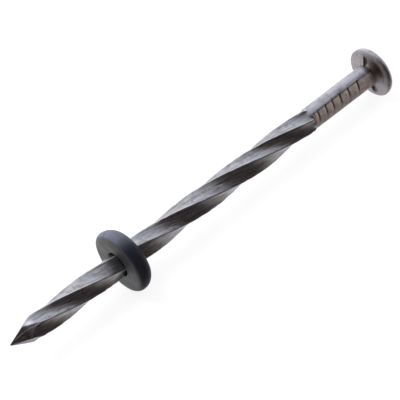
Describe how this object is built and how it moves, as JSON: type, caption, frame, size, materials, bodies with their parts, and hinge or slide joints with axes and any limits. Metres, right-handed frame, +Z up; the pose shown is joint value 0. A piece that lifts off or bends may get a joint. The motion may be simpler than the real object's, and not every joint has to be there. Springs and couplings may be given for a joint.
{
  "type": "washered screw-shank spike",
  "caption": "Steel screw-shank spike with a thick domed head, gripper marks, a right-hand twisted shank of five ridges, a faceted point and a sliding domed rubber sealing washer.",
  "frame": {"origin": "on the spike's axis, in the plane where the shank meets the underside of the head", "axes": "+X along the spike's axis from the point to the head, +Z up as it lies on a surface"},
  "size_m": [0.0913, 0.013, 0.013],
  "materials": {
    "steel": "dark bright-drawn steel with rolling marks",
    "rubber": "moulded black rubber with a dusty bloom"
  },
  "bodies": {
    "spike": {"spike": "steel"},
    "seal_washer": {"seal_washer": "rubber"}
  },
  "joints": [
    {"name": "washer_slide", "type": "slide", "parent": "spike", "child": "seal_washer", "axis": [1, 0, 0], "range_m": [-0.0293, 0.0592]}
  ]
}
